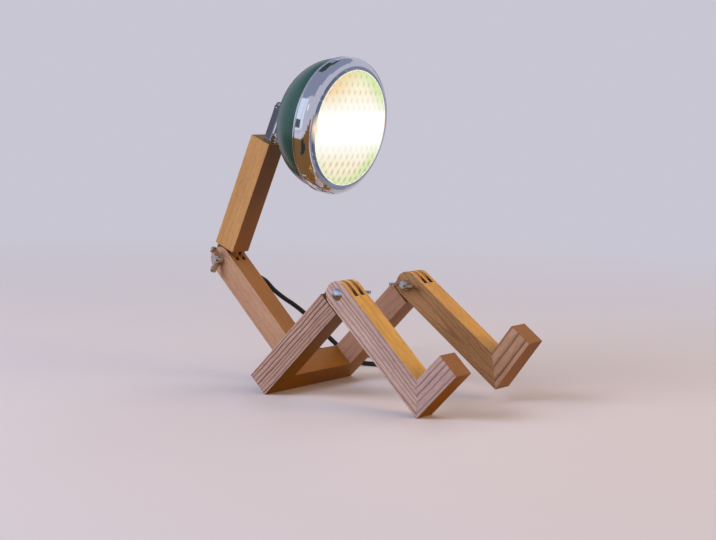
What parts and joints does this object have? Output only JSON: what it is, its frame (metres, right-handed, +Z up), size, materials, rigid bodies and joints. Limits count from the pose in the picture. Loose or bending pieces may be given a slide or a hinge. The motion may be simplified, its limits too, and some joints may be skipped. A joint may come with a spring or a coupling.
{
  "type": "robot-shaped desk lamp",
  "caption": "Desk lamp shaped like a seated figure: square timber limbs with finger joints, bolts and wing nuts, a chromed fork as the neck and a round headlamp as the head.",
  "frame": {"origin": "on the table, at the middle of the lamp's bounding box without its cord", "axes": "+X is the way the lamp faces, +Y its left hand, +Z up from the table"},
  "size_m": [0.35, 0.3279, 0.329],
  "materials": {
    "timber": "planed softwood, oiled",
    "dowel": "beech dowel",
    "zinc_steel": "zinc plated",
    "chrome": "polished",
    "shell_paint": "semi-gloss",
    "lens_glass": "prismatic",
    "gasket_rubber": "matte",
    "reflector_metal": "polished",
    "holder_ceramic": "unglazed",
    "bulb_glass": "frosted",
    "black_plastic": "soft",
    "pin_metal": "nickel plated"
  },
  "bodies": {
    "pelvis": {"crossbar": "timber", "right_thigh": "timber", "left_thigh": "timber", "frame_dowels": "dowel", "hip_stub": "timber", "cord_on_table": "black_plastic", "cord_coil": "black_plastic", "cord_to_plug": "black_plastic", "plug_body": "black_plastic", "plug_pins": "pin_metal"},
    "right_leg": {"right_calf": "timber", "right_foot": "timber", "right_ankle_dowels": "dowel", "right_knee_bolt": "zinc_steel", "right_knee_washer": "zinc_steel", "right_knee_wing_nut": "zinc_steel"},
    "left_leg": {"left_calf": "timber", "left_foot": "timber", "left_ankle_dowels": "dowel", "left_knee_bolt": "zinc_steel", "left_knee_washer": "zinc_steel", "left_knee_wing_nut": "zinc_steel"},
    "belly": {"lower_torso": "timber", "hip_bolt": "zinc_steel", "hip_washer": "zinc_steel", "hip_wing_nut": "zinc_steel", "waist_bolt": "zinc_steel", "waist_washer": "zinc_steel", "waist_wing_nut": "zinc_steel", "cord_grommet": "black_plastic", "cord_hanging": "black_plastic"},
    "chest": {"upper_torso": "timber", "neck_nipple": "zinc_steel", "neck_ring_nut": "zinc_steel"},
    "neck": {"neck_fork": "chrome", "tilt_screw": "chrome", "tilt_nut": "zinc_steel"},
    "head": {"head_lug": "chrome", "stem_nut": "zinc_steel", "head_shell": "shell_paint", "head_rim": "chrome", "lens": "lens_glass", "lens_gasket": "gasket_rubber", "reflector": "reflector_metal", "bulb_holder": "holder_ceramic", "bulb": "bulb_glass"}
  },
  "joints": [
    {"name": "right_knee", "type": "hinge", "parent": "pelvis", "child": "right_leg", "pos_m": [0.03289, -0.0585, 0.10565], "axis": [0, -1, 0], "range_deg": [-3.4, 89.5]},
    {"name": "left_knee", "type": "hinge", "parent": "pelvis", "child": "left_leg", "pos_m": [0.03289, 0.0585, 0.10565], "axis": [0, -1, 0], "range_deg": [-10.5, 82.4]},
    {"name": "hip", "type": "hinge", "parent": "pelvis", "child": "belly", "pos_m": [-0.07312, 0, 0.03361], "axis": [0, -1, 0], "range_deg": [-20, 40], "deforming": ["cord_hanging"]},
    {"name": "waist", "type": "hinge", "parent": "belly", "child": "chest", "pos_m": [-0.16118, 0, 0.12091], "axis": [0, -1, 0], "range_deg": [-26, 70]},
    {"name": "neck_swivel", "type": "hinge", "parent": "chest", "child": "neck", "pos_m": [-0.10596, 0, 0.24415], "axis": [0.3851, 0, 0.9229], "range_deg": [-90, 90]},
    {"name": "head_tilt", "type": "hinge", "parent": "neck", "child": "head", "pos_m": [-0.0916, 0, 0.27858], "axis": [0, -1, 0], "range_deg": [-22, 60]}
  ]
}
